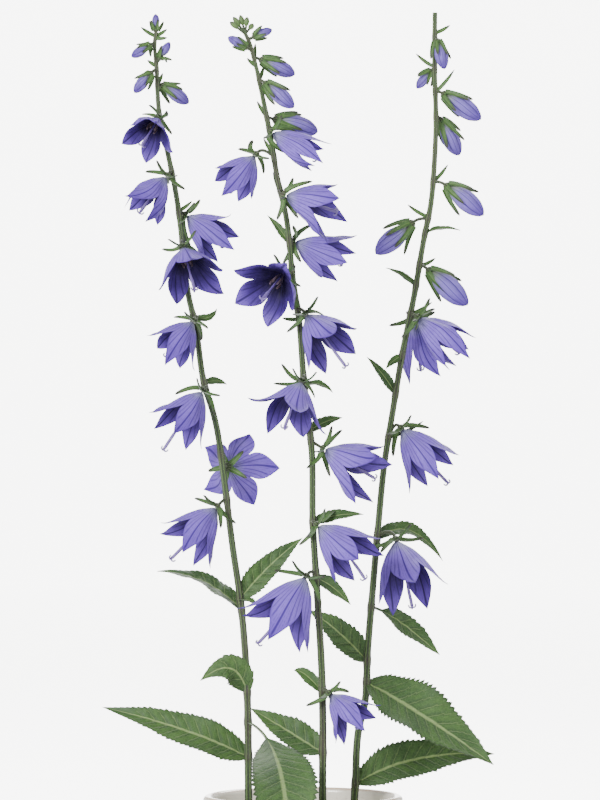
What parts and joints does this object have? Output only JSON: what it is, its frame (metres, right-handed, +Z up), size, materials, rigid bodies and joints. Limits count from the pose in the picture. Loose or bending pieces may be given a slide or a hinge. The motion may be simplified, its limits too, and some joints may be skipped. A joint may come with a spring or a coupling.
{
  "type": "creeping bellflower in vase",
  "caption": "Cut creeping bellflower stems with nodding violet bells, buds and toothed leaves, standing in a plain tapered vase of water; a table decoration.",
  "frame": {"origin": "centre of the vase's flat base, on the surface that it stands on", "axes": "+Z up along the vase's axis, -Y towards the viewer of the front, +X to the right seen from the front"},
  "size_m": [0.1664, 0.1018, 0.4908],
  "materials": {
    "vase_glaze": "gloss",
    "water": "polished",
    "green": "matte",
    "bell_violet": "satin",
    "bud_violet": "satin"
  },
  "bodies": {
    "root": {"vase": "vase_glaze", "water": "water", "stem_1": "green", "stem_2": "green", "stem_3": "green", "bell_1_1": "bell_violet", "bell_1_2": "bell_violet", "bell_1_3": "bell_violet", "bell_1_4": "bell_violet", "bell_1_5": "bell_violet", "bell_1_6": "bell_violet", "bell_1_7": "bell_violet", "bell_1_8": "bell_violet", "bud_1_1": "bud_violet", "bud_1_2": "bud_violet", "bud_1_3": "bud_violet", "bud_1_4": "bud_violet", "bud_1_5": "bud_violet", "bell_2_1": "bell_violet", "bell_2_2": "bell_violet", "bell_2_3": "bell_violet", "bell_2_4": "bell_violet", "bell_2_5": "bell_violet", "bell_2_6": "bell_violet", "bell_2_7": "bell_violet", "bell_2_8": "bell_violet", "bell_2_9": "bell_violet", "bell_2_10": "bell_violet", "bell_2_11": "bell_violet", "bud_2_1": "bud_violet", "bud_2_2": "bud_violet", "bud_2_3": "bud_violet", "bud_2_4": "bud_violet", "bud_2_5": "bud_violet", "bell_3_1": "bell_violet", "bell_3_2": "bell_violet", "bell_3_3": "bell_violet", "bell_3_4": "bell_violet", "bud_3_1": "bud_violet", "bud_3_2": "bud_violet", "bud_3_3": "bud_violet", "bud_3_4": "bud_violet", "bud_3_5": "bud_violet", "bud_3_6": "bud_violet", "bud_3_7": "bud_violet"}
  },
  "joints": []
}
